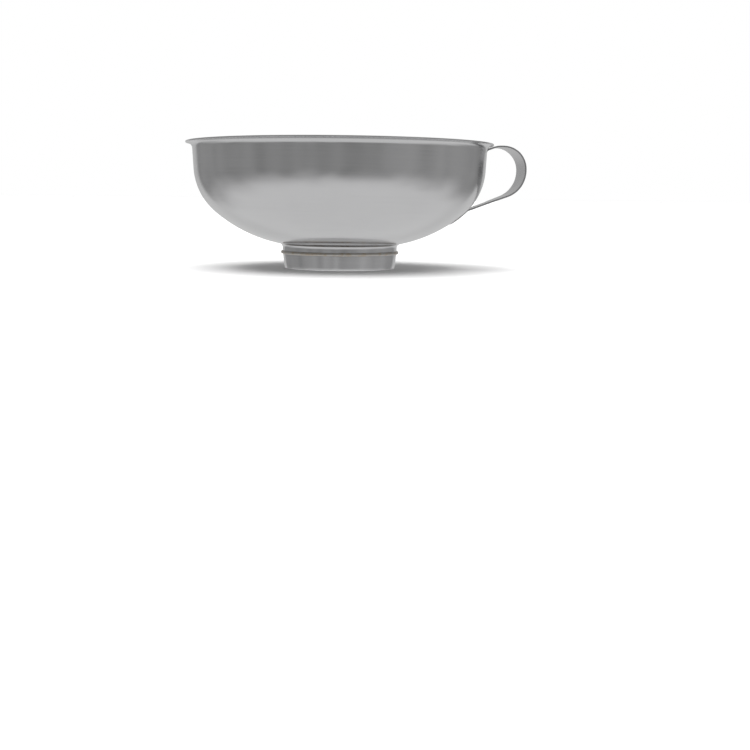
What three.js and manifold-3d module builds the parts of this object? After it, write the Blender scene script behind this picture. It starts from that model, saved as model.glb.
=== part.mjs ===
// A canning funnel: a drawn sheet-steel bowl with a flared lip, a short tapered neck that drops into
// a jar, and a bent strap handle spot-welded to the side of the bowl.
// Millimetres, +Z up. The origin is on the funnel's axis at the mouth of the neck, and the handle
// points along +X.

import * as THREE from 'three';
import { mergeVertices } from 'three/addons/utils/BufferGeometryUtils.js';
import Module from 'manifold-3d';

const wasm = await Module();
wasm.setup();

const deg = THREE.MathUtils.degToRad;

// Driving dimensions
const height = 59.05;               // mouth of the neck to the top of the lip
const sheet = 0.7;                  // thickness of the bowl and the neck
const lipRadius = 73;               // cut edge of the flared lip
const lipFillet = 2.7;              // bend between the wall and the lip, on its underside
const wallRadius = 69.89;           // outside of the wall where the lip bends away
const wallLean = deg(3.1);          // draft of the drawn wall
const wallDepth = 9.35;             // height of the straight part of the wall
const cornerRadius = 28.4;          // first, tighter curve from the wall into the floor
const cornerEnd = deg(49.3);        // how far round the tighter curve goes before it opens out
const floorRadius = 67;             // second, flatter curve down to the throat
const throatFillet = 2;             // bend from the floor into the collar
const collarLength = 2;             // straight stub the neck is welded to
const neckTopRadius = 27.6;         // outside of the collar and of the neck's upper end
const neckMouthRadius = 26.5;       // outside of the neck's lower end
const beadRadius = 0.9;             // weld bead between the collar and the neck

const strapWidth = 18;
const strapThickness = 0.7;
const strapReach = 88.8;            // middle of the strap at the outermost point of the handle
const upperRadius = 11;             // upper round of the handle, to the middle of the strap
const lowerRadius = 13.2;           // lower round of the handle
const roundGap = 0.4;               // straight between the two rounds
const crownDrop = 0.45;             // middle of the upper arm below the top of the lip
const lowerArmSlope = deg(20.4);    // the lower arm runs down towards the bowl
const taperStart = 87;              // the strap is full width out to here, and narrows from here
const taperEnd = 68;                // to here
const footWidth = 10;               // width of the strap where it is welded
const footLength = 10.5;
const spotRadius = 1.6;
const spotSpacing = 4.8;
const spotDepth = 0.3;              // the electrode's mark in the strap

const seat = 0.3;                   // clearance kept between pieces that touch
const around = 72;                  // segments round the axis

// ---- outline of the bowl ---------------------------------------------------------------------

// Unit normal that leans `angle` below the horizontal, pointing out of the bowl.
const outward = (angle) => new THREE.Vector2(Math.cos(angle), -Math.sin(angle));

// Centres of the bends, worked out from the lip down to the throat.
const lipCentre = new THREE.Vector2(
  wallRadius + lipFillet * Math.cos(wallLean), height - sheet - lipFillet);
const wallTop = lipCentre.clone().addScaledVector(outward(wallLean), -lipFillet);
const wallFoot = wallTop.clone().add(new THREE.Vector2(-Math.tan(wallLean), -1).multiplyScalar(wallDepth));
const cornerCentre = wallFoot.clone().addScaledVector(outward(wallLean), -cornerRadius);
const floorCentre = cornerCentre.clone().addScaledVector(outward(cornerEnd), cornerRadius - floorRadius);
const floorEnd = Math.acos(
  (neckTopRadius + throatFillet - floorCentre.x) / (floorRadius + throatFillet));
const throatCentre = floorCentre.clone().addScaledVector(outward(floorEnd), floorRadius + throatFillet);
const collarEnd = throatCentre.y - collarLength;

// Points on a bend, from one angle to another; angles are those of the outward normal.
function bend(centre, radius, from, to, steps) {
  const curve = new THREE.EllipseCurve(centre.x, centre.y, radius, radius, from, to, to < from);
  return curve.getPoints(steps);
}

// The bowl's surface from the lip to the collar, moved `inset` into the metal.
function bowlSurface(inset) {
  return [
    new THREE.Vector2(lipRadius, height - sheet + inset),
    ...bend(lipCentre, lipFillet + inset, Math.PI / 2, Math.PI - wallLean, 5),
    ...bend(cornerCentre, cornerRadius - inset, -wallLean, -cornerEnd, 7),
    ...bend(floorCentre, floorRadius - inset, -cornerEnd, -floorEnd, 4).slice(1),
    ...bend(throatCentre, throatFillet + inset, Math.PI - floorEnd, Math.PI, 3).slice(1),
    new THREE.Vector2(neckTopRadius - inset, collarEnd),
  ];
}

// ---- helpers ---------------------------------------------------------------------------------

// A ring turned from a closed profile of (radius, height) points, given down the outside first.
function turned(profile) {
  const geometry = new THREE.LatheGeometry([...profile, profile[0]].reverse(), around);
  return geometry.rotateX(Math.PI / 2);
}

// A geometry as a solid that can be joined and cut.
function solid(geometry) {
  const bare = geometry.clone();
  bare.deleteAttribute('normal');
  bare.deleteAttribute('uv');
  const merged = mergeVertices(bare, 1e-4);
  return new wasm.Manifold(new wasm.Mesh({
    numProp: 3,
    vertProperties: new Float32Array(merged.attributes.position.array),
    triVerts: new Uint32Array(merged.index.array),
  }));
}

// A solid back as a geometry.
function surface(body) {
  const mesh = body.getMesh();
  const geometry = new THREE.BufferGeometry();
  geometry.setAttribute('position', new THREE.BufferAttribute(mesh.vertProperties, 3));
  geometry.setIndex(new THREE.BufferAttribute(mesh.triVerts, 1));
  geometry.computeVertexNormals();
  return geometry;
}

// A flat outline drawn in the XZ plane and given a width along Y, centred on Y = 0.
function acrossY(shape, width) {
  const geometry = new THREE.ExtrudeGeometry(shape, { depth: width, bevelEnabled: false });
  return geometry.rotateX(Math.PI / 2).translate(0, width / 2, 0);
}

function mesh(name, geometry, material) {
  const piece = new THREE.Mesh(geometry, material);
  piece.name = name;
  return piece;
}

// ---- materials -------------------------------------------------------------------------------

const satinSteel = () => new THREE.MeshStandardMaterial({ color: 0xb4b5b6, metalness: 1, roughness: 0.28 });
const strapSteel = () => new THREE.MeshStandardMaterial({ color: 0xa9aaab, metalness: 1, roughness: 0.34 });
const weldSteel = () => new THREE.MeshStandardMaterial({ color: 0x9c9a96, metalness: 1, roughness: 0.42 });

// ---- bowl, neck and the seam between them ----------------------------------------------------

function bowl() {
  return mesh('bowl', turned([...bowlSurface(0), ...bowlSurface(sheet).reverse()]), satinSteel());
}

function neck() {
  const top = collarEnd - seat;
  return mesh('neck', turned([
    new THREE.Vector2(neckTopRadius, top),
    new THREE.Vector2(neckMouthRadius, 0),
    new THREE.Vector2(neckMouthRadius - sheet, 0),
    new THREE.Vector2(neckTopRadius - sheet, top),
  ]), satinSteel());
}

function neckSeam() {
  const middle = new THREE.Vector2(neckTopRadius + seat, collarEnd - seat / 2);
  return mesh('neck_seam', turned(bend(middle, beadRadius, Math.PI / 2, -Math.PI / 2, 6)), weldSteel());
}

// ---- strap handle ----------------------------------------------------------------------------

const standOff = seat + strapThickness / 2;      // middle of a foot, out from the bowl

// A path through the corners, each rounded to its own radius: [x, z, radius] with 0 at both ends.
function rounded(corners) {
  const path = new THREE.Path();
  const points = corners.map(([x, z]) => new THREE.Vector2(x, z));
  path.moveTo(points[0].x, points[0].y);
  for (let i = 1; i < points.length - 1; i += 1) {
    const into = points[i].clone().sub(points[i - 1]).normalize();
    const out = points[i + 1].clone().sub(points[i]).normalize();
    const turn = Math.atan2(into.cross(out), into.dot(out));
    const side = new THREE.Vector2(-into.y, into.x).multiplyScalar(Math.sign(turn));
    const radius = corners[i][2];
    const start = points[i].clone().addScaledVector(into, -radius * Math.tan(Math.abs(turn) / 2));
    const centre = start.clone().addScaledVector(side, radius);
    const from = start.clone().sub(centre).angle();
    path.lineTo(start.x, start.y);
    path.absarc(centre.x, centre.y, radius, from, from + turn, turn < 0);
  }
  path.lineTo(points.at(-1).x, points.at(-1).y);
  return path;
}

// Where the lower arm's middle line meets the foot that lies on the corner bend.
function lowerCorner(armX, armZ) {
  const radius = cornerRadius + standOff;
  const along = new THREE.Vector2(-Math.cos(lowerArmSlope), -Math.sin(lowerArmSlope));
  const offset = new THREE.Vector2(armX, armZ).sub(cornerCentre);
  const reach = -offset.dot(along) - Math.sqrt(offset.dot(along) ** 2 - offset.lengthSq() + radius ** 2);
  return offset.addScaledVector(along, reach).add(cornerCentre);
}

// A place on the bowl's flank, `run` along it from where its normal leans `from`: the normal's angle
// there, and the point `off` out from the metal.
function flank(from, run, off) {
  const cornerRun = (cornerEnd - from) * cornerRadius;
  const [centre, radius, angle] = run < cornerRun
    ? [cornerCentre, cornerRadius, from + run / cornerRadius]
    : [floorCentre, floorRadius, cornerEnd + (run - cornerRun) / floorRadius];
  return { angle, point: centre.clone().addScaledVector(outward(angle), radius + off) };
}

// The middle line of the strap: up the upper foot, round the handle and down the lower foot.
function strapLine() {
  const crown = height - crownDrop;
  const roundTurn = Math.PI / 2 - lowerArmSlope;
  const roundBase = crown - upperRadius - roundGap - lowerRadius * Math.tan(roundTurn / 2);
  const footTop = wallTop.clone().addScaledVector(outward(wallLean), standOff);
  const footDown = new THREE.Vector2(-Math.sin(wallLean), -Math.cos(wallLean));
  const footEnd = footTop.clone().addScaledVector(footDown, footLength);
  const meet = lowerCorner(strapReach, roundBase);
  const meetAngle = Math.acos((meet.x - cornerCentre.x) / (cornerRadius + standOff));
  const lowerFoot = Array.from({ length: 7 }, (_, i) => flank(meetAngle, footLength * i / 6, standOff).point);
  const path = rounded([
    [footEnd.x, footEnd.y, 0],
    [footTop.x, footTop.y + 0.9, 1.4],
    [lipRadius + 2.5, crown, 4],
    [strapReach, crown, upperRadius],
    [strapReach, roundBase, lowerRadius],
    [meet.x, meet.y, 0],
  ]);
  return { line: [...path.getPoints(7), ...lowerFoot.slice(1)], footEnd, footDown, meetAngle };
}

// Points of a line moved sideways.
function sideways(line, distance) {
  return line.map((point, i) => {
    const before = line[Math.max(i - 1, 0)];
    const after = line[Math.min(i + 1, line.length - 1)];
    const along = after.clone().sub(before).normalize();
    return new THREE.Vector2(point.x - along.y * distance, point.y + along.x * distance);
  });
}

// The side view of the strap as a closed outline.
function strapOutline(line) {
  const clean = line.filter((p, i) => i === 0 || p.distanceTo(line[i - 1]) > 0.05);
  const half = strapThickness / 2;
  return new THREE.Shape([...sideways(clean, half), ...sideways(clean, -half).reverse()]);
}

// The strap's outline from above: full width out on the handle, narrower at both feet, and the end
// of the lower foot rounded off.
function strapPlan(endX) {
  const half = footWidth / 2;
  const plan = new THREE.Shape();
  plan.moveTo(strapReach + 5, -strapWidth);
  plan.lineTo(strapReach + 5, strapWidth);
  plan.lineTo(taperStart, strapWidth);
  plan.lineTo(taperStart, strapWidth / 2 + 0.01);
  plan.bezierCurveTo(taperStart - 7, strapWidth / 2, taperEnd + 7, half, taperEnd, half);
  plan.lineTo(endX + 2.5, half);
  plan.quadraticCurveTo(endX - 0.2, half, endX - 0.2, half - 3.5);
  plan.lineTo(endX - 0.2, -half + 3.5);
  plan.quadraticCurveTo(endX - 0.2, -half, endX + 2.5, -half);
  plan.lineTo(taperEnd, -half);
  plan.bezierCurveTo(
    taperEnd + 7, -half, taperStart - 7, -strapWidth / 2, taperStart, -strapWidth / 2 - 0.01);
  plan.lineTo(taperStart, -strapWidth);
  return plan;
}

// A corner to take off the upper foot: a square with a quarter circle left in.
function footCorner(side, bottom) {
  const radius = 3;
  const edge = side * footWidth / 2;
  const corner = new THREE.Shape();
  corner.moveTo(edge - side * radius, bottom - 1);
  corner.lineTo(edge + side, bottom - 1);
  corner.lineTo(edge + side, bottom + radius);
  corner.lineTo(edge, bottom + radius);
  corner.quadraticCurveTo(edge, bottom, edge - side * radius, bottom);
  const geometry = new THREE.ExtrudeGeometry(corner, { depth: 8, bevelEnabled: false, curveSegments: 6 });
  return geometry.rotateX(Math.PI / 2).rotateZ(Math.PI / 2).translate(strapReach - 24, 0, 0);
}

// The places of the four spot welds: the middle of each on the outer face of a foot, and the face's
// outward normal's angle below the horizontal.
function spots({ footEnd, footDown, meetAngle }) {
  const upper = footEnd.clone().addScaledVector(footDown, -footLength * 0.42)
    .addScaledVector(outward(wallLean), strapThickness / 2);
  const lower = flank(meetAngle, footLength * 0.58, seat + strapThickness);
  return [['upper', upper, wallLean], ['lower', lower.point, lower.angle]].flatMap(
    ([foot, point, angle]) => [-1, 1].map((side) => ({
      name: `spot_weld_${foot}_${side < 0 ? 'front' : 'back'}`,
      y: side * spotSpacing / 2,
      point,
      angle,
    })));
}

// A disc on a foot, its axis along the foot's normal, its outer face `rise` above the foot.
function disc(spot, radius, thickness, rise) {
  const centre = spot.point.clone().addScaledVector(outward(spot.angle), rise - thickness / 2);
  return new THREE.CylinderGeometry(radius, radius, thickness, 24)
    .rotateZ(-Math.PI / 2)
    .rotateY(spot.angle)
    .translate(centre.x, spot.y, centre.y);
}

function handle() {
  const route = strapLine();
  const endX = Math.min(...route.line.map((point) => point.x));
  const flat = new THREE.ExtrudeGeometry(
    strapPlan(endX), { depth: 2 * height, bevelEnabled: false, curveSegments: 8 });
  let body = solid(acrossY(strapOutline(route.line), strapWidth)).intersect(solid(flat));
  for (const side of [-1, 1]) body = body.subtract(solid(footCorner(side, route.footEnd.y)));
  const welds = spots(route);
  for (const spot of welds) body = body.subtract(solid(disc(spot, spotRadius + seat, 1, 1 - spotDepth)));
  return [
    mesh('handle_strap', surface(body), strapSteel()),
    ...welds.map((spot) => mesh(spot.name, disc(spot, spotRadius, spotDepth - 0.1, 0), weldSteel())),
  ];
}

// ---- the funnel ------------------------------------------------------------------------------

const funnel = new THREE.Group();
funnel.add(bowl(), neck(), neckSeam(), ...handle());

export default funnel;
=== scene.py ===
"""A canning funnel in satin stainless steel, standing on a pale studio floor.

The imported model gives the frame. The drawn sheet, the bent strap and the welds are modelled here as
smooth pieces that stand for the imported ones, in metres and in the same frame.
"""

import logging
import math
from dataclasses import dataclass, field
from enum import Enum
from typing import Callable, Iterable

import bmesh
import bpy
from mathutils import Matrix, Vector


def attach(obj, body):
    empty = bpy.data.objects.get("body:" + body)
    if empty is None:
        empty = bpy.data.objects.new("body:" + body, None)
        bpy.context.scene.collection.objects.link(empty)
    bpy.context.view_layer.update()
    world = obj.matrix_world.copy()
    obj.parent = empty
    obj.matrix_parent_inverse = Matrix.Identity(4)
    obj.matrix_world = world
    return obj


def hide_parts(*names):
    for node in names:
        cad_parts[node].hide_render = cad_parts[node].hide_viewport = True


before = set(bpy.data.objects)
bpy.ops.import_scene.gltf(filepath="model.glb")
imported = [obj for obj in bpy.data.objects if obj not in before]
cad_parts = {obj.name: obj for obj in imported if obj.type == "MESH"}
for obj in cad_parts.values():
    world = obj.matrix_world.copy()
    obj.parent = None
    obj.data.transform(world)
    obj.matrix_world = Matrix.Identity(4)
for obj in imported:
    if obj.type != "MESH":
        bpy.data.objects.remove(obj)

log = logging.getLogger("canning_funnel")

MM = 0.001
SHARP = math.radians(50)
RIM_SHARP = math.radians(55)
Point = tuple[float, float]
Triple = tuple[float, float, float]


# ---------------------------------------------------------------------------------------------
# Outline of the funnel
# ---------------------------------------------------------------------------------------------


def outward(angle: float) -> Vector:
    """Gives the unit normal, as (radius, height), that leans below the horizontal.

    Args:
        angle: lean below the horizontal, in radians.

    Returns:
        The normal as a two-part vector.
    """
    return Vector((math.cos(angle), -math.sin(angle)))


def arc(centre: Vector, radius: float, start: float, end: float, steps: int) -> list[Vector]:
    """Gives points along a circular bend.

    Args:
        centre: middle of the bend, as (radius, height).
        radius: radius of the bend.
        start: angle of the first point, anticlockwise from straight out.
        end: angle of the last point.
        steps: number of equal steps between them.

    Returns:
        The points, first and last included.
    """
    angles = (start + (end - start) * i / steps for i in range(steps + 1))
    return [centre + radius * Vector((math.cos(a), math.sin(a))) for a in angles]


@dataclass(frozen=True)
class Outline:
    """Sizes of the drawn bowl and the neck, and the centres of their bends.

    Lengths are in metres. The bends run from the lip down to the collar at the throat.
    """

    height: float = 59.05 * MM
    sheet: float = 0.7 * MM
    lip_radius: float = 73 * MM
    lip_fillet: float = 2.7 * MM
    wall_radius: float = 69.89 * MM
    wall_lean: float = math.radians(3.1)
    wall_depth: float = 9.35 * MM
    corner_radius: float = 28.4 * MM
    corner_end: float = math.radians(49.3)
    floor_radius: float = 67 * MM
    throat_fillet: float = 2 * MM
    collar_length: float = 2 * MM
    neck_top_radius: float = 27.6 * MM
    neck_mouth_radius: float = 26.5 * MM

    @property
    def lip_centre(self) -> Vector:
        """Middle of the bend between the wall and the lip."""
        return Vector((
            self.wall_radius + self.lip_fillet * math.cos(self.wall_lean),
            self.height - self.sheet - self.lip_fillet))

    @property
    def wall_top(self) -> Vector:
        """Upper end of the straight wall, on its outside."""
        return self.lip_centre - self.lip_fillet * outward(self.wall_lean)

    @property
    def wall_foot(self) -> Vector:
        """Lower end of the straight wall, on its outside."""
        return self.wall_top + self.wall_depth * Vector((-math.tan(self.wall_lean), -1))

    @property
    def corner_centre(self) -> Vector:
        """Middle of the tighter curve from the wall into the floor."""
        return self.wall_foot - self.corner_radius * outward(self.wall_lean)

    @property
    def floor_centre(self) -> Vector:
        """Middle of the flatter curve down to the throat."""
        inset = self.corner_radius - self.floor_radius
        return self.corner_centre + inset * outward(self.corner_end)

    @property
    def floor_end(self) -> float:
        """Angle at which the floor turns down into the collar."""
        reach = self.neck_top_radius + self.throat_fillet - self.floor_centre.x
        return math.acos(reach / (self.floor_radius + self.throat_fillet))

    @property
    def throat_centre(self) -> Vector:
        """Middle of the bend between the floor and the collar."""
        reach = self.floor_radius + self.throat_fillet
        return self.floor_centre + reach * outward(self.floor_end)

    @property
    def collar_end(self) -> float:
        """Height of the collar's lower edge."""
        return self.throat_centre.y - self.collar_length

    def outside(self) -> list[Vector]:
        """Gives the bowl's outer surface from the edge of the lip down to the collar."""
        lip = arc(self.lip_centre, self.lip_fillet, math.pi / 2, math.pi - self.wall_lean, 14)
        corner = arc(self.corner_centre, self.corner_radius, -self.wall_lean, -self.corner_end, 26)
        floor = arc(self.floor_centre, self.floor_radius, -self.corner_end, -self.floor_end, 18)
        throat = arc(self.throat_centre, self.throat_fillet, math.pi - self.floor_end, math.pi, 8)
        wall = [self.wall_top.lerp(self.wall_foot, t) for t in (0.25, 0.5, 0.75)]
        edge = Vector((self.lip_radius, self.height - self.sheet))
        collar = Vector((self.neck_top_radius, self.collar_end))
        return [edge, *lip, *wall, *corner, *floor[1:], *throat[1:], collar]

    def flank(self, start: float, run: float, stand_off: float) -> tuple[Vector, float]:
        """Gives a place on the bowl's flank, some way down from another.

        Args:
            start: lean of the normal at the place it starts from.
            run: distance down the flank.
            stand_off: distance out from the metal.

        Returns:
            The place as (radius, height), and the lean of the normal there.
        """
        corner_run = (self.corner_end - start) * self.corner_radius
        if run < corner_run:
            centre, radius = self.corner_centre, self.corner_radius
            lean = start + run / self.corner_radius
        else:
            centre, radius = self.floor_centre, self.floor_radius
            lean = self.corner_end + (run - corner_run) / self.floor_radius
        return centre + (radius + stand_off) * outward(lean), lean


# ---------------------------------------------------------------------------------------------
# Workbench
# ---------------------------------------------------------------------------------------------


class Bench:
    """Small helpers round the modelling operators."""

    @staticmethod
    def clear() -> None:
        """Leaves edit mode and deselects everything."""
        if bpy.context.object and bpy.context.object.mode != "OBJECT":
            bpy.ops.object.mode_set(mode="OBJECT")
        bpy.ops.object.select_all(action="DESELECT")

    @staticmethod
    def take(name: str) -> bpy.types.Object:
        """Names the primitive just added, settles its place into its mesh and opens it for editing.

        Args:
            name: name of the piece.

        Returns:
            The object, in edit mode with everything selected.
        """
        piece = bpy.context.object
        piece.name = piece.data.name = name
        bpy.ops.object.transform_apply(location=True, rotation=True, scale=True)
        bpy.ops.object.mode_set(mode="EDIT")
        bpy.ops.mesh.select_all(action="SELECT")
        return piece

    @staticmethod
    def pick(piece: bpy.types.Object, where: Callable[[Vector], bool]) -> int:
        """Selects the vertices of a piece in edit mode by their place.

        Args:
            piece: the object being edited.
            where: test of a vertex's position.

        Returns:
            How many vertices are selected.
        """
        bpy.ops.mesh.select_mode(type="VERT")
        bpy.ops.mesh.select_all(action="DESELECT")
        mesh = bmesh.from_edit_mesh(piece.data)
        for vertex in mesh.verts:
            vertex.select_set(where(vertex.co))
        mesh.select_flush_mode()
        bmesh.update_edit_mesh(piece.data)
        return sum(vertex.select for vertex in mesh.verts)

    @staticmethod
    def face_outwards(piece: bpy.types.Object, sample: Callable[[Vector], Vector]) -> None:
        """Turns the faces of an open shell to the side asked for.

        Args:
            piece: the object being edited.
            sample: gives the direction the shell should face at a place.
        """
        bpy.ops.mesh.select_all(action="SELECT")
        bpy.ops.mesh.normals_make_consistent(inside=False)
        mesh = bmesh.from_edit_mesh(piece.data)
        mesh.faces.ensure_lookup_table()
        agreeing = sum(
            face.normal.dot(sample(face.calc_center_median())) > 0 for face in mesh.faces)
        if 2 * agreeing < len(mesh.faces):
            bpy.ops.mesh.flip_normals()

    @staticmethod
    def thicken(piece: bpy.types.Object, thickness: float, offset: float) -> None:
        """Gives an open shell the thickness of its sheet.

        Args:
            piece: the object, in object mode.
            thickness: sheet thickness.
            offset: -1 to thicken behind the faces, 0 both ways.
        """
        bpy.ops.object.modifier_add(type="SOLIDIFY")
        modifier = piece.modifiers[-1]
        modifier.thickness = thickness
        modifier.offset = offset
        modifier.use_even_offset = True
        modifier.use_quality_normals = True
        bpy.ops.object.modifier_apply(modifier=modifier.name)

    @staticmethod
    def round_edges(piece: bpy.types.Object, width: float, segments: int, angle: float) -> None:
        """Rounds the sharp edges of a piece and shades it smooth.

        Args:
            piece: the object, in object mode.
            width: width of the rounding.
            segments: steps across it.
            angle: edges sharper than this are rounded.
        """
        bpy.ops.object.modifier_add(type="BEVEL")
        modifier = piece.modifiers[-1]
        modifier.width = width
        modifier.segments = segments
        modifier.limit_method = "ANGLE"
        modifier.angle_limit = angle
        bpy.ops.object.modifier_apply(modifier=modifier.name)
        bpy.ops.object.shade_smooth_by_angle(angle=SHARP)

    @staticmethod
    def draw_ring(name: str, profile: Iterable[Vector], segments: int) -> bpy.types.Object:
        """Draws a shell of revolution down from its first ring.

        Args:
            name: name of the piece.
            profile: (radius, height) points from top to bottom.
            segments: steps round the axis.

        Returns:
            The object, in edit mode, with its faces turned away from the axis.
        """
        points = list(profile)
        Bench.clear()
        bpy.ops.mesh.primitive_circle_add(
            vertices=segments, radius=points[0].x, fill_type="NOTHING",
            location=(0, 0, points[0].y))
        piece = Bench.take(name)
        for above, below in zip(points, points[1:]):
            bpy.ops.mesh.extrude_region_move(
                TRANSFORM_OT_translate={"value": (0, 0, below.y - above.y)})
            scale = below.x / above.x
            bpy.ops.transform.resize(value=(scale, scale, 1), center_override=(0, 0, below.y))
        Bench.face_outwards(piece, lambda place: Vector((place.x, place.y, -0.5 * place.xy.length)))
        return piece

    @staticmethod
    def hand_over(piece: bpy.types.Object, material: bpy.types.Material, slot: str,
                  *nodes: str) -> None:
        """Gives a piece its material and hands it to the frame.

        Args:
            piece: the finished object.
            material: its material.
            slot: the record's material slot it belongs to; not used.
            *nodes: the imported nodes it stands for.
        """
        Bench.clear()
        piece.data.materials.clear()
        piece.data.materials.append(material)
        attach(piece, "root")
        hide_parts(*nodes)
        log.info("%s: %d faces, stands for %s",
                 piece.name, len(piece.data.polygons), ", ".join(nodes))


# ---------------------------------------------------------------------------------------------
# Finishes
# ---------------------------------------------------------------------------------------------


class Graph:
    """A short way to write a node tree."""

    def __init__(self, tree: bpy.types.NodeTree) -> None:
        """Starts on an emptied node tree.

        Args:
            tree: the tree to write.
        """
        self.tree = tree
        tree.nodes.clear()

    @classmethod
    def surface(cls, name: str) -> tuple[bpy.types.Material, "Graph", bpy.types.Node]:
        """Starts a material with one shader joined to its output.

        Args:
            name: name of the material.

        Returns:
            The material, its graph and its shader.
        """
        material = bpy.data.materials.new(name)
        material.use_nodes = True
        graph = cls(material.node_tree)
        shader = graph.node("ShaderNodeBsdfPrincipled")
        out = graph.node("ShaderNodeOutputMaterial")
        graph.feed(out.inputs["Surface"], shader.outputs[0])
        return material, graph, shader

    @classmethod
    def metal(cls, name: str) -> tuple[bpy.types.Material, "Graph", bpy.types.Node]:
        """Starts a bare metal.

        Args:
            name: name of the material.

        Returns:
            The material, its graph and its shader.
        """
        material, graph, shader = cls.surface(name)
        shader.inputs["Metallic"].default_value = 1.0
        return material, graph, shader

    def node(self, kind: str, **settings: object) -> bpy.types.Node:
        """Adds a node and sets its properties.

        Args:
            kind: the node's type.
            **settings: properties to set, by name.

        Returns:
            The new node.
        """
        node = self.tree.nodes.new(kind)
        for key, value in settings.items():
            setattr(node, key, value)
        return node

    def feed(self, socket: bpy.types.NodeSocket, value: object) -> None:
        """Links an output to a socket, or sets the socket to a plain value.

        Args:
            socket: the input to fill.
            value: an output socket or a plain value.
        """
        if isinstance(value, bpy.types.NodeSocket):
            self.tree.links.new(value, socket)
        else:
            socket.default_value = value

    def math(self, operation: str, first: object, second: object = 0.0,
             third: object = 0.0) -> bpy.types.NodeSocket:
        """Adds a Math node.

        Args:
            operation: the operation's name.
            first: first value or socket.
            second: second value or socket.
            third: third value or socket.

        Returns:
            The result's socket.
        """
        node = self.node("ShaderNodeMath", operation=operation)
        for socket, value in zip(node.inputs, (first, second, third)):
            self.feed(socket, value)
        return node.outputs[0]

    def vector(self, operation: str, first: object, second: object = (0, 0, 0)) -> bpy.types.Node:
        """Adds a Vector Math node.

        Args:
            operation: the operation's name.
            first: first vector or socket.
            second: second vector or socket.

        Returns:
            The node, so that a vector or a number can be read from it.
        """
        node = self.node("ShaderNodeVectorMath", operation=operation)
        self.feed(node.inputs[0], first)
        self.feed(node.inputs[1], second)
        return node

    def split(self, place: object) -> tuple[bpy.types.NodeSocket, ...]:
        """Splits a vector into its three numbers.

        Args:
            place: the vector's socket.

        Returns:
            The three numbers' sockets.
        """
        node = self.node("ShaderNodeSeparateXYZ")
        self.feed(node.inputs[0], place)
        return tuple(node.outputs)

    def combine(self, x: object, y: object, z: object) -> bpy.types.NodeSocket:
        """Joins three numbers into a vector.

        Args:
            x: first value or socket.
            y: second value or socket.
            z: third value or socket.

        Returns:
            The vector's socket.
        """
        node = self.node("ShaderNodeCombineXYZ")
        for socket, value in zip(node.inputs, (x, y, z)):
            self.feed(socket, value)
        return node.outputs[0]

    def ramp(self, value: object, low: float, high: float, out_low: float = 0.0,
             out_high: float = 1.0) -> bpy.types.NodeSocket:
        """Maps a value smoothly from one range to another, held at both ends.

        Args:
            value: value or socket.
            low: start of the input range.
            high: end of the input range.
            out_low: result at the start.
            out_high: result at the end.

        Returns:
            The result's socket.
        """
        node = self.node("ShaderNodeMapRange", interpolation_type="SMOOTHSTEP", clamp=True)
        for socket, number in zip(node.inputs, (value, low, high, out_low, out_high)):
            self.feed(socket, number)
        return node.outputs[0]

    def noise(self, place: object, scale: float, detail: float = 3.0,
              rough: float = 0.5) -> bpy.types.NodeSocket:
        """Adds a Noise texture.

        Args:
            place: vector to read it at.
            scale: size of the pattern.
            detail: number of octaves.
            rough: share of the finer octaves.

        Returns:
            The pattern's socket, about 0.5 on average.
        """
        node = self.node("ShaderNodeTexNoise")
        self.feed(node.inputs["Vector"], place)
        node.inputs["Scale"].default_value = scale
        node.inputs["Detail"].default_value = detail
        node.inputs["Roughness"].default_value = rough
        return node.outputs[0]

    def mix(self, share: object, first: object, second: object) -> bpy.types.NodeSocket:
        """Mixes two colours.

        Args:
            share: share of the second colour, from 0 to 1.
            first: first colour or socket.
            second: second colour or socket.

        Returns:
            The mixed colour's socket.
        """
        node = self.node("ShaderNodeMix", data_type="RGBA")
        self.feed(node.inputs["Factor"], share)
        self.feed(node.inputs["A"], first)
        self.feed(node.inputs["B"], second)
        return next(s for s in node.outputs if s.type == "RGBA")

    def bump(self, height: object, strength: float, distance: float,
             below: object = None) -> bpy.types.NodeSocket:
        """Adds a Bump node, over another one if given.

        Args:
            height: the pattern that raises the surface.
            strength: how much of it to use.
            distance: height of a full step of the pattern.
            below: normal of the surface under it.

        Returns:
            The normal's socket.
        """
        node = self.node("ShaderNodeBump")
        node.inputs["Strength"].default_value = strength
        node.inputs["Distance"].default_value = distance
        self.feed(node.inputs["Height"], height)
        if below is not None:
            self.feed(node.inputs["Normal"], below)
        return node.outputs[0]


class Grain(Enum):
    """Which way the polishing marks run."""

    AROUND = "round the axis"
    ALONG = "along the strap"


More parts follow.
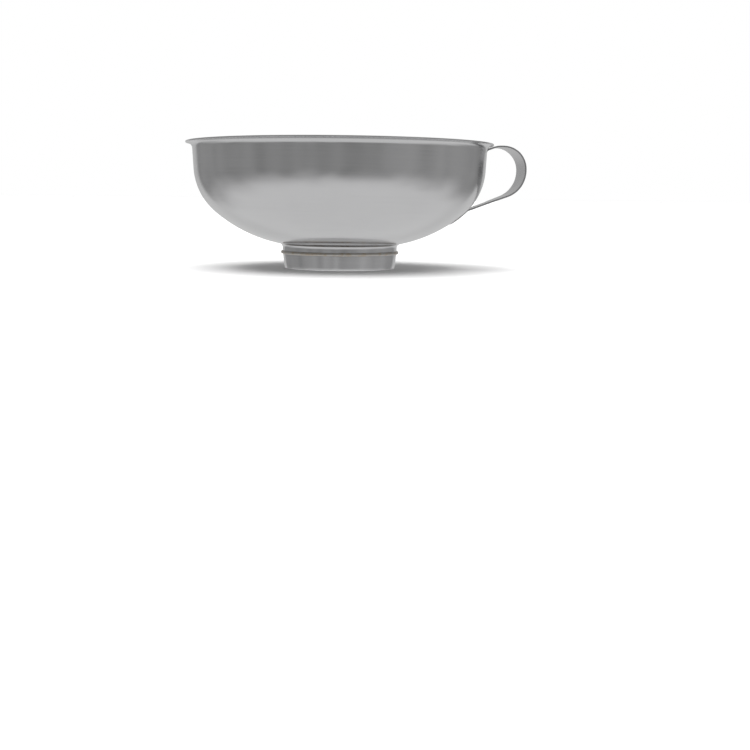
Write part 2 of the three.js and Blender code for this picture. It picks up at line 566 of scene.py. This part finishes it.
@dataclass(frozen=True)
class SteelFinish:
    """Satin stainless steel: fine polishing marks, faint smudges and heat marks at the welds.

    Frequencies are in cycles per metre, except the turn's, which is per radius of a unit circle.
    """

    name: str
    grain: Grain
    colour: Triple = (0.60, 0.60, 0.605)
    heat_colour: Triple = (0.52, 0.44, 0.33)
    roughness: float = 0.17
    spread: float = 0.07
    marks: tuple[Triple, ...] = ()
    lengthways: float = 40.0
    crossways: float = 2600.0
    ring_pitch: float = 1500.0
    ring_turn: float = 2.2
    heat_near: float = 1.2 * MM
    heat_far: float = 4.2 * MM

    def grain_place(self, graph: Graph, place: bpy.types.NodeSocket) -> bpy.types.NodeSocket:
        """Gives coordinates that are stretched along the polishing marks.

        Args:
            graph: the material's node tree.
            place: Object coordinates.

        Returns:
            The stretched coordinates.
        """
        x, y, z = graph.split(place)
        if self.grain is Grain.ALONG:
            return graph.combine(
                graph.math("MULTIPLY", x, self.lengthways),
                graph.math("MULTIPLY", y, self.crossways),
                graph.math("MULTIPLY", z, self.lengthways))
        radius = graph.math("SQRT", graph.math(
            "ADD", graph.math("MULTIPLY", x, x), graph.math("MULTIPLY", y, y)))
        turn = graph.split(graph.vector("NORMALIZE", graph.combine(x, y, 0.0)).outputs[0])
        rings = (graph.math("MULTIPLY_ADD", length, self.ring_pitch,
                            graph.math("MULTIPLY", part, self.ring_turn))
                 for length, part in zip((z, radius), turn))
        return graph.combine(*rings, 0.0)

    def heat(self, graph: Graph, place: bpy.types.NodeSocket) -> bpy.types.NodeSocket:
        """Gives how close a place is to the nearest weld: 1 on it, 0 a few millimetres away.

        Args:
            graph: the material's node tree.
            place: Object coordinates.

        Returns:
            The closeness's socket.
        """
        total: object = 0.0
        for mark in self.marks:
            reach = graph.vector("DISTANCE", place, mark).outputs["Value"]
            near = graph.ramp(reach, self.heat_near, self.heat_far, 1.0, 0.0)
            total = graph.math("MAXIMUM", total, near)
        return total

    def material(self) -> bpy.types.Material:
        """Makes the material.

        Returns:
            The finished material.
        """
        material, graph, shader = Graph.metal(self.name)
        place = graph.node("ShaderNodeTexCoord").outputs["Object"]
        lines = graph.noise(self.grain_place(graph, place), 1.0, 4.0, 0.62)
        smudge = graph.noise(place, 38.0, 4.0, 0.55)
        cloud = graph.noise(place, 130.0, 3.0, 0.6)
        swell = graph.noise(place, 24.0, 1.0, 0.4)

        shade = graph.math("ADD", graph.ramp(lines, 0.3, 0.7, -0.018, 0.018),
                           graph.ramp(smudge, 0.35, 0.65, -0.02, 0.02))
        plain = graph.vector("SCALE", self.colour)
        graph.feed(plain.inputs["Scale"], graph.math("ADD", 1.0, shade))
        colour = plain.outputs[0]

        wear = graph.math("ADD", graph.ramp(smudge, 0.35, 0.7, -0.02, self.spread * 0.7),
                          graph.ramp(cloud, 0.5, 0.75, 0.0, self.spread * 0.25))
        marking = graph.ramp(lines, 0.25, 0.75, -self.spread * 0.5, self.spread * 0.5)
        rough = graph.math("ADD", self.roughness, graph.math("ADD", marking, wear))

        waves = graph.bump(swell, 0.25, 0.12 * MM)
        surface = graph.bump(lines, 0.08, 0.01 * MM, waves)
        if self.marks:
            heat = self.heat(graph, place)
            colour = graph.mix(
                graph.math("MULTIPLY", heat, 0.35), colour, (*self.heat_colour, 1))
            rough = graph.math("ADD", rough, graph.math("MULTIPLY", heat, 0.12))
            surface = graph.bump(graph.math("MULTIPLY", heat, -1.0), 0.6, 0.06 * MM, surface)
        graph.feed(shader.inputs["Base Color"], colour)
        graph.feed(shader.inputs["Roughness"], rough)
        graph.feed(shader.inputs["Normal"], surface)
        return material


@dataclass(frozen=True)
class WeldFinish:
    """Cleaned weld metal: duller than the sheet, a little straw-coloured and finely pitted."""

    name: str
    colour: Triple = (0.50, 0.485, 0.46)
    tint: Triple = (0.46, 0.39, 0.30)
    roughness: float = 0.34

    def material(self) -> bpy.types.Material:
        """Makes the material.

        Returns:
            The finished material.
        """
        material, graph, shader = Graph.metal(self.name)
        place = graph.node("ShaderNodeTexCoord").outputs["Object"]
        patch = graph.noise(place, 420.0, 4.0, 0.6)
        pits = graph.noise(place, 2400.0, 3.0, 0.6)
        graph.feed(shader.inputs["Base Color"], graph.mix(
            graph.ramp(patch, 0.42, 0.68), (*self.colour, 1), (*self.tint, 1)))
        graph.feed(shader.inputs["Roughness"], graph.math(
            "ADD", self.roughness, graph.ramp(pits, 0.3, 0.7, -0.07, 0.1)))
        graph.feed(shader.inputs["Normal"], graph.bump(pits, 0.3, 0.03 * MM))
        return material


# ---------------------------------------------------------------------------------------------
# Handle
# ---------------------------------------------------------------------------------------------


@dataclass
class HandleStrap:
    """The bent strap handle, its two welded feet and their spot welds."""

    outline: Outline
    width: float = 18 * MM
    thickness: float = 0.7 * MM
    reach: float = 88.79 * MM
    upper_bend: float = 11 * MM
    lower_bend: float = 13.2 * MM
    bend_gap: float = 0.4 * MM
    crown_drop: float = 0.45 * MM
    arm_slope: float = math.radians(20.4)
    taper_start: float = 87 * MM
    taper_end: float = 68 * MM
    foot_width: float = 10 * MM
    foot_length: float = 10.5 * MM
    foot_gap: float = 0.04 * MM
    end_radius: float = 3 * MM
    foot_rise: float = 0.9 * MM
    foot_bend: float = 1.4 * MM
    lip_clearance: float = 2.5 * MM
    lip_bend: float = 4 * MM
    meet_bend: float = 5 * MM
    easing: float = 2.2 * MM
    lower_turn: float = 0.19
    lower_hollow: float = 88 * MM
    spot_radius: float = 1.6 * MM
    spot_spacing: float = 4.8 * MM
    spot_share: float = 0.58
    spot_depth: float = 0.5 * MM
    spot_rise: float = 0.1 * MM
    spot_dish: tuple[Point, ...] = ((0.35, 0.0), (0.35, 0.06), (0.35, 0.05), (0.4, 0.02))
    bend_step: float = 0.5 * MM
    spacing: float = 0.45 * MM
    columns: int = 16
    line: list[Vector] = field(default_factory=list)
    meet_angle: float = 0.0

    @property
    def stand_off(self) -> float:
        """Distance from the bowl to the middle of a foot."""
        return self.foot_gap + self.thickness / 2

    def rounded(self, corners: list[tuple[Vector, float]], step: float) -> list[Vector]:
        """Gives points along a path whose corners are rounded.

        Args:
            corners: each corner with the radius of its rounding, 0 at both ends.
            step: distance between points on the bends.

        Returns:
            The points of the path.
        """
        points = [corners[0][0].copy()]
        for (before, _), (here, radius), (after, _) in zip(corners, corners[1:], corners[2:]):
            into, out = (here - before).normalized(), (after - here).normalized()
            turn = math.atan2(into.x * out.y - into.y * out.x, into.dot(out))
            start = here - into * radius * math.tan(abs(turn) / 2)
            side = Vector((-into.y, into.x)) * math.copysign(1, turn)
            centre = start + side * radius
            first = math.atan2(start.y - centre.y, start.x - centre.x)
            steps = max(4, round(abs(turn) * radius / step))
            points += arc(centre, radius, first, first + turn, steps)
        points.append(corners[-1][0].copy())
        return points

    def route(self) -> None:
        """Works out the middle line of the strap, from the upper foot round to the lower foot."""
        shape = self.outline
        crown = shape.height - self.crown_drop
        base = (crown - self.upper_bend - self.bend_gap
                - self.lower_bend * math.tan((math.pi / 2 - self.arm_slope) / 2))
        foot_top = shape.wall_top + self.stand_off * outward(shape.wall_lean)
        down = Vector((-math.sin(shape.wall_lean), -math.cos(shape.wall_lean)))
        radius = shape.corner_radius + self.stand_off
        along = Vector((-math.cos(self.arm_slope), -math.sin(self.arm_slope)))
        offset = Vector((self.reach, base)) - shape.corner_centre
        away = offset.dot(along)
        hit = -away - math.sqrt(away * away - offset.length_squared + radius * radius)
        meet = offset + along * hit + shape.corner_centre
        self.meet_angle = math.acos((meet.x - shape.corner_centre.x) / radius)
        runs = [self.easing + (self.foot_length - self.easing) * i / 16 for i in range(17)]
        foot = [shape.flank(self.meet_angle, run, self.stand_off)[0] for run in runs]
        path = self.rounded([
            (foot_top + down * self.foot_length, 0),
            (foot_top + Vector((0, self.foot_rise)), self.foot_bend),
            (Vector((shape.lip_radius + self.lip_clearance, crown)), self.lip_bend),
            (Vector((self.reach, crown)), self.upper_bend),
            (Vector((self.reach, base)), self.lower_bend),
            (meet, self.meet_bend),
            (foot[0], 0),
        ], self.bend_step)
        self.line = self.even(path + foot[1:], self.spacing)

    @staticmethod
    def even(points: list[Vector], step: float) -> list[Vector]:
        """Spaces points evenly along a line.

        Args:
            points: the line's points.
            step: distance wanted between them.

        Returns:
            The evenly spaced points, both ends kept.
        """
        lengths = [(b - a).length for a, b in zip(points, points[1:])]
        total = sum(lengths)
        count = round(total / step)
        result, i, done = [points[0]], 0, 0.0
        for n in range(1, count):
            want = total * n / count
            while done + lengths[i] < want:
                done += lengths[i]
                i += 1
            result.append(points[i].lerp(points[i + 1], (want - done) / lengths[i]))
        return [*result, points[-1]]

    def half_width(self, place: Vector, from_start: float, from_end: float) -> float:
        """Gives half the strap's width at a place on its line.

        Args:
            place: point of the middle line.
            from_start: distance along the strap from the upper foot's end.
            from_end: distance along the strap from the lower foot's end.

        Returns:
            Half the width there.
        """
        t = min(1.0, max(0.0, (place.x - self.taper_end) / (self.taper_start - self.taper_end)))
        half = self.foot_width / 2 + (self.width - self.foot_width) / 2 * t * t * (3 - 2 * t)
        tip = self.end_radius - min(from_start, from_end, self.end_radius)
        return half - self.end_radius + math.sqrt(max(0.0, self.end_radius ** 2 - tip ** 2))

    def build(self) -> bpy.types.Object:
        """Builds the strap: one edge drawn along its line, hugged to the bowl at both feet.

        Returns:
            The strap's object.
        """
        self.route()
        steps = [(b - a).length for a, b in zip(self.line, self.line[1:])]
        total = sum(steps)
        runs = [sum(steps[:i]) for i in range(len(self.line))]
        halves = [self.half_width(p, s, total - s) for p, s in zip(self.line, runs)]
        Bench.clear()
        bpy.ops.mesh.primitive_plane_add(size=2 * halves[0])
        strap = Bench.take("handle_strap_bent")
        Bench.pick(strap, lambda place: place.x > 0)
        bpy.ops.mesh.delete(type="VERT")
        bpy.ops.mesh.select_all(action="SELECT")
        bpy.ops.mesh.subdivide(number_cuts=self.columns - 1)
        bpy.ops.mesh.select_all(action="SELECT")
        first = self.line[0]
        bpy.ops.transform.translate(value=(first.x + halves[0], 0, first.y))
        for (a, b), (wide, next_wide) in zip(
                zip(self.line, self.line[1:]), zip(halves, halves[1:])):
            bpy.ops.mesh.extrude_region_move(
                TRANSFORM_OT_translate={"value": (b.x - a.x, 0, b.y - a.y)})
            bpy.ops.transform.resize(
                value=(1, next_wide / wide, 1), center_override=(b.x, 0, b.y))
        self.hug(strap)
        middle = Vector((self.reach - self.upper_bend, self.outline.height - self.upper_bend))
        Bench.face_outwards(
            strap, lambda place: Vector((place.x - middle.x, 0, place.z - middle.y)))
        bpy.ops.object.mode_set(mode="OBJECT")
        Bench.thicken(strap, self.thickness, 0)
        Bench.round_edges(strap, 0.28 * MM, 3, SHARP)
        return strap

    def hug(self, strap: bpy.types.Object) -> None:
        """Curves both feet across their width so that they lie on the round bowl.

        Args:
            strap: the strap's object, in edit mode.
        """
        shape = self.outline
        top = shape.wall_top.y
        start = shape.flank(self.meet_angle, 0.0, self.stand_off)[0]
        lower_normal = outward(self.meet_angle + self.lower_turn)
        upper_bands = ((1.0, 0.0, top - 0.5 * MM),
                       (0.7, top - 0.5 * MM, top + 0.6 * MM),
                       (0.35, top + 0.6 * MM, top + 1.6 * MM))
        lower_bands = ((1.0, 0.0, start.x + 0.2 * MM),
                       (0.5, start.x + 0.2 * MM, start.x + 1.5 * MM))
        edge, strips = self.foot_width / 2, self.columns // 2
        for low, high in ((edge * i / strips, edge * (i + 1) / strips)
                          for i in range(strips + 1)):
            across = (low + high) / 2
            sag = across ** 2 / (2 * shape.wall_radius)
            for share, bottom, ceiling in upper_bands:
                if Bench.pick(strap, lambda p: low <= abs(p.y) < high
                              and bottom <= p.z < ceiling
                              and p.x < shape.wall_radius + 2.2 * MM
                              and p.z > shape.wall_foot.y - 2 * MM):
                    bpy.ops.transform.translate(value=(-sag * share, 0, 0))
            flat = across ** 2 / (2 * self.lower_hollow)
            for share, inner, outer in lower_bands:
                if Bench.pick(strap, lambda p: low <= abs(p.y) < high
                              and inner <= p.x < outer
                              and p.z < start.y + 1.5 * MM):
                    bpy.ops.transform.translate(
                        value=(-flat * share * lower_normal.x, 0, -flat * share * lower_normal.y))

    def spots(self) -> dict[str, tuple[Vector, Vector]]:
        """Places the four spot welds.

        Returns:
            For each packed weld, the middle of its face on the foot and the foot's normal.
        """
        shape = self.outline
        down = Vector((-math.sin(shape.wall_lean), -math.cos(shape.wall_lean)))
        upper_normal = outward(shape.wall_lean)
        face = self.foot_gap + self.thickness
        upper = (shape.wall_top + down * self.foot_length * self.spot_share
                 + upper_normal * face)
        lower, lower_angle = shape.flank(
            self.meet_angle, self.foot_length * self.spot_share, face)
        found = {}
        for foot, point, normal in (("upper", upper, upper_normal),
                                    ("lower", lower, outward(lower_angle))):
            for side, place in ((-1, "front"), (1, "back")):
                y = side * self.spot_spacing / 2
                sag = y * y / (2 * shape.wall_radius)
                middle = Vector((point.x - sag * normal.x, y, point.y - sag * normal.y))
                tilt = Vector((normal.x, y / shape.wall_radius, normal.y)).normalized()
                found[f"spot_weld_{foot}_{place}"] = (middle, tilt)
        return found

    def build_spot(self, name: str, middle: Vector, normal: Vector) -> bpy.types.Object:
        """Builds one spot weld: a low button with a dished face and a soft rim.

        Args:
            name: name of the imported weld.
            middle: middle of the weld on the foot's face.
            normal: outward normal there.

        Returns:
            The weld's object.
        """
        Bench.clear()
        turn = normal.to_track_quat("Z", "Y").to_euler()
        centre = middle + normal * (self.spot_rise - self.spot_depth / 2)
        bpy.ops.mesh.primitive_cylinder_add(
            vertices=48, radius=self.spot_radius, depth=self.spot_depth,
            location=centre, rotation=turn)
        spot = Bench.take(name + "_dished")
        for inset, drop in self.spot_dish:
            Bench.pick(spot, lambda place: False)
            bpy.ops.mesh.select_mode(type="FACE")
            mesh = bmesh.from_edit_mesh(spot.data)
            face = max(mesh.faces, key=lambda f: (round(f.normal.dot(normal), 3), len(f.verts)))
            face.select_set(True)
            bmesh.update_edit_mesh(spot.data)
            bpy.ops.mesh.inset(thickness=inset * MM)
            bpy.ops.transform.translate(value=tuple(-normal * drop * MM))
        bpy.ops.object.mode_set(mode="OBJECT")
        Bench.round_edges(spot, 0.08 * MM, 3, SHARP)
        return spot

    def dress(self, strap: bpy.types.Object, steel: SteelFinish, weld: bpy.types.Material) -> None:
        """Dresses the strap, then builds and dresses its spot welds.

        Args:
            strap: the strap's object.
            steel: the strap's finish.
            weld: the weld metal.
        """
        Bench.hand_over(strap, steel.material(), "strap_steel", "handle_strap")
        for name, (middle, normal) in self.spots().items():
            Bench.hand_over(self.build_spot(name, middle, normal), weld, "weld_steel", name)


# ---------------------------------------------------------------------------------------------
# Bowl and neck
# ---------------------------------------------------------------------------------------------


@dataclass
class Bowl:
    """The drawn bowl with its flared lip and its collar."""

    outline: Outline
    segments: int = 240

    def build(self) -> bpy.types.Object:
        """Draws the bowl down from its lip and gives it the sheet's thickness.

        Returns:
            The bowl's object.
        """
        bowl = Bench.draw_ring("bowl_drawn", self.outline.outside(), self.segments)
        bpy.ops.object.mode_set(mode="OBJECT")
        Bench.thicken(bowl, self.outline.sheet, -1)
        Bench.round_edges(bowl, 0.16 * MM, 3, RIM_SHARP)
        return bowl

    def dress(self, bowl: bpy.types.Object, steel: SteelFinish) -> None:
        """Dresses the bowl in its sheet steel."""
        Bench.hand_over(bowl, steel.material(), "bowl_steel", "bowl")


@dataclass
class Neck:
    """The tapered neck and the weld bead that joins it to the bowl's collar."""

    outline: Outline
    segments: int = 240
    ripples: int = 150
    ripple_steps: int = 4
    ripple_lifts: tuple[Point, ...] = ((0, 0.07), (1, 0.035))
    bead: float = 0.78 * MM

    def build(self) -> bpy.types.Object:
        """Draws the neck down from the collar to its mouth.

        Returns:
            The neck's object.
        """
        shape = self.outline
        top = Vector((shape.neck_top_radius, shape.collar_end - 0.05 * MM))
        mouth = Vector((shape.neck_mouth_radius, 0))
        profile = [top.lerp(mouth, i / 6) for i in range(7)]
        neck = Bench.draw_ring("neck_tapered", profile, self.segments)
        bpy.ops.object.mode_set(mode="OBJECT")
        Bench.thicken(neck, shape.sheet, -1)
        Bench.round_edges(neck, 0.16 * MM, 3, RIM_SHARP)
        return neck

    def build_seam(self) -> bpy.types.Object:
        """Builds the weld bead and raises its ripples.

        Returns:
            The bead's object.
        """
        shape = self.outline
        height = shape.collar_end - 0.15 * MM
        around = self.ripples * self.ripple_steps
        Bench.clear()
        bpy.ops.mesh.primitive_torus_add(
            major_radius=shape.neck_top_radius + 0.02 * MM, minor_radius=self.bead,
            major_segments=around, minor_segments=12, location=(0, 0, height))
        seam = Bench.take("neck_seam_rippled")
        step = 2 * math.pi / around
        for phase, lift in self.ripple_lifts:
            Bench.pick(
                seam, lambda p: round(math.atan2(p.y, p.x) / step) % self.ripple_steps == phase)
            bpy.ops.transform.shrink_fatten(value=lift * MM)
        bpy.ops.object.mode_set(mode="OBJECT")
        bpy.ops.object.shade_smooth()
        return seam

    def dress(self, neck: bpy.types.Object, seam: bpy.types.Object, steel: SteelFinish,
              weld: bpy.types.Material) -> None:
        """Dresses the neck and its seam.

        Args:
            neck: the neck's object.
            seam: the bead's object.
            steel: the neck's finish.
            weld: the weld metal.
        """
        Bench.hand_over(neck, steel.material(), "neck_steel", "neck")
        Bench.hand_over(seam, weld, "weld_steel", "neck_seam")


# ---------------------------------------------------------------------------------------------
# Studio
# ---------------------------------------------------------------------------------------------


@dataclass
class Studio:
    """Pale floor, soft light from above, a pale sweep behind and a dim room in front.

    Brightnesses are strengths of the background. The heights at which one gives way to the next
    are those of a direction's unit vector: 0 on the horizon, 1 straight up.
    """

    turn: float = math.radians(-7)
    room: float = 0.42
    table: float = 1.0
    table_height: float = -0.43
    sweep: float = 0.72
    sweep_extra: float = 0.14
    right_extra: float = 0.16
    overhead: float = 0.75
    overhead_height: Point = (0.72, 0.8)
    daylight: float = 2.8
    daylight_angle: float = math.radians(81)
    floor_radius: float = 40.0
    floor_tone: float = 0.92
    lamp_place: Triple = (-0.12, 0.1, 0.9)
    lamp_size: float = 0.9
    lamp_power: float = 5.0
    lens: float = 54.24
    eye: Triple = (0.01794, -0.55, 0.03298)
    yaw: float = math.radians(0.0253)
    pitch: float = math.radians(90 - 8.847)
    roll: float = math.radians(0.59)

    def room_tone(self, graph: Graph, aim: object, x: object) -> bpy.types.NodeSocket:
        """Gives the room's brightness: faint patches and upright streaks, paler on the right.

        Args:
            graph: the world's node tree.
            aim: direction looked in, as the camera's left and right see it.
            x: its sideways part.

        Returns:
            The brightness's socket.
        """
        upright = graph.vector("MULTIPLY", aim, (1.0, 1.0, 0.25)).outputs[0]
        streaks = graph.ramp(graph.noise(upright, 3.4, 3.0, 0.55), 0.3, 0.7, -0.14, 0.2)
        patches = graph.ramp(graph.noise(aim, 2.2, 2.0, 0.5), 0.3, 0.7, 0.86, 1.06)
        right = graph.math("MULTIPLY", graph.ramp(x, 0.5, 1.0), self.right_extra)
        share = graph.math("ADD", right, graph.math("ADD", patches, streaks))
        return graph.math("MULTIPLY", self.room, share)

    def sweep_tone(self, graph: Graph, y: object, z: object) -> bpy.types.NodeSocket:
        """Gives the brightness of the pale sweep behind the funnel.

        Args:
            graph: the world's node tree.
            y: the direction's part away from the camera.
            z: its upward part.

        Returns:
            The brightness's socket, 0 away from the sweep.
        """
        flat = graph.math("SQRT", graph.math("SUBTRACT", 1.0, graph.math("MULTIPLY", z, z)))
        facing = graph.math("DIVIDE", y, graph.math("MAXIMUM", flat, 0.01))
        tone = graph.ramp(z, -0.25, -0.05, self.sweep + self.sweep_extra, self.sweep)
        return graph.math("MULTIPLY", graph.ramp(facing, 0.78, 0.82), graph.math(
            "MULTIPLY", graph.ramp(z, 0.75, 0.6), tone))

    def build_world(self) -> None:
        """Makes the room's light: pale below and behind, dim in front, brighter overhead."""
        world = bpy.data.worlds.new("studio")
        world.use_nodes = True
        bpy.context.scene.world = world
        graph = Graph(world.node_tree)
        turned = graph.node("ShaderNodeVectorRotate", rotation_type="Z_AXIS")
        graph.feed(turned.inputs["Vector"], graph.node("ShaderNodeTexCoord").outputs["Generated"])
        graph.feed(turned.inputs["Angle"], -self.turn)
        aim = turned.outputs[0]
        x, y, z = graph.split(aim)

        room = self.room_tone(graph, aim, x)
        ragged = graph.ramp(graph.noise(aim, 3.1, 2.0, 0.5), 0.3, 0.7, -0.06, 0.06)
        below = graph.math("ADD", graph.math("SUBTRACT", ragged, z), self.table_height)
        base = graph.math("MULTIPLY_ADD", graph.ramp(below, -0.25, 0.25),
                          graph.math("SUBTRACT", self.table, room), room)
        box = graph.math("MULTIPLY", graph.ramp(z, *self.overhead_height), self.overhead)
        light = graph.math("MAXIMUM", graph.math(
            "MAXIMUM", base, self.sweep_tone(graph, y, z)), box)

        back = graph.node("ShaderNodeBackground")
        graph.feed(back.inputs["Strength"], light)
        plain = graph.node("ShaderNodeBackground")
        graph.feed(plain.inputs["Strength"], 1.0)
        graph.feed(plain.inputs["Color"], (1, 1, 1, 1))
        choose = graph.node("ShaderNodeMixShader")
        seen = graph.node("ShaderNodeLightPath").outputs["Is Camera Ray"]
        for socket, value in zip(choose.inputs, (seen, back.outputs[0], plain.outputs[0])):
            graph.feed(socket, value)
        out = graph.node("ShaderNodeOutputWorld")
        graph.feed(out.inputs["Surface"], choose.outputs[0])

    def build_floor(self) -> None:
        """Lays the wide pale floor."""
        Bench.clear()
        bpy.ops.mesh.primitive_circle_add(
            vertices=96, radius=self.floor_radius, fill_type="NGON", location=(0, 0, -0.05 * MM))
        floor = bpy.context.object
        floor.name = "studio_floor"
        material, graph, shader = Graph.surface("pale_floor")
        graph.feed(shader.inputs["Base Color"], (*(self.floor_tone,) * 3, 1))
        graph.feed(shader.inputs["Roughness"], 0.85)
        graph.feed(shader.inputs["Specular IOR Level"], 0.2)
        floor.data.materials.append(material)
        floor.visible_glossy = False

    @staticmethod
    def hang(kind: str, name: str, place: Triple, strength: float) -> bpy.types.Light:
        """Adds a light that is not seen in reflections.

        Args:
            kind: the light's type.
            name: its name.
            place: where it hangs.
            strength: its power or strength.

        Returns:
            The light's data.
        """
        Bench.clear()
        bpy.ops.object.light_add(type=kind, location=place)
        lamp = bpy.context.object
        lamp.name = name
        lamp.data.energy = strength
        lamp.visible_glossy = False
        return lamp.data

    def build_lights(self) -> None:
        """Hangs one wide soft light over the funnel and an even light over the whole floor."""
        softbox = self.hang("AREA", "overhead_softbox", self.lamp_place, self.lamp_power)
        softbox.shape = "SQUARE"
        softbox.size = self.lamp_size
        even = self.hang("SUN", "even_soft_light", (0, 0, 2), self.daylight)
        even.angle = self.daylight_angle

    def build_camera(self) -> None:
        """Sets the camera a little below the lip, looking slightly down past the funnel."""
        Bench.clear()
        bpy.ops.object.camera_add()
        camera = bpy.context.object
        camera.name = "studio_camera"
        camera.data.lens = self.lens
        camera.data.sensor_width = 36
        camera.data.clip_start = 0.01
        place = Matrix.Rotation(self.turn, 4, "Z") @ Matrix.Translation(self.eye)
        tilt = Matrix.Rotation(self.yaw, 4, "Z") @ Matrix.Rotation(self.pitch, 4, "X")
        camera.matrix_world = place @ tilt @ Matrix.Rotation(self.roll, 4, "Z")
        bpy.context.scene.camera = camera

    def build(self) -> None:
        """Sets up the whole studio."""
        bpy.context.scene.view_settings.view_transform = "Standard"
        self.build_world()
        self.build_floor()
        self.build_lights()
        self.build_camera()
        log.info("studio: floor, two soft lights, room and camera")


# ---------------------------------------------------------------------------------------------
# The funnel
# ---------------------------------------------------------------------------------------------


def main() -> None:
    """Builds the funnel piece by piece, then the studio."""
    logging.basicConfig(level=logging.INFO, format="%(name)s: %(message)s")
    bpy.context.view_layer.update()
    outline = Outline()

    handle = HandleStrap(outline)
    strap = handle.build()
    marks = tuple(tuple(middle) for middle, _ in handle.spots().values())
    bowl_maker = Bowl(outline)
    bowl = bowl_maker.build()
    neck_maker = Neck(outline)
    neck = neck_maker.build()
    seam = neck_maker.build_seam()

    weld = WeldFinish("weld_metal").material()
    bowl_maker.dress(bowl, SteelFinish("satin_sheet", Grain.AROUND, marks=marks))
    neck_maker.dress(neck, seam, SteelFinish("satin_neck", Grain.AROUND), weld)
    # The strap's base colour (0.45) is set darker than the sheet's (0.60) as painted shade: it stands
    # in for the darker reflections on the strap, not for a darker metal.
    handle.dress(strap, SteelFinish(
        "brushed_strip_painted_shade", Grain.ALONG, (0.45, 0.45, 0.455), roughness=0.22, marks=marks), weld)

    Studio().build()


if __name__ == "__main__":
    main()
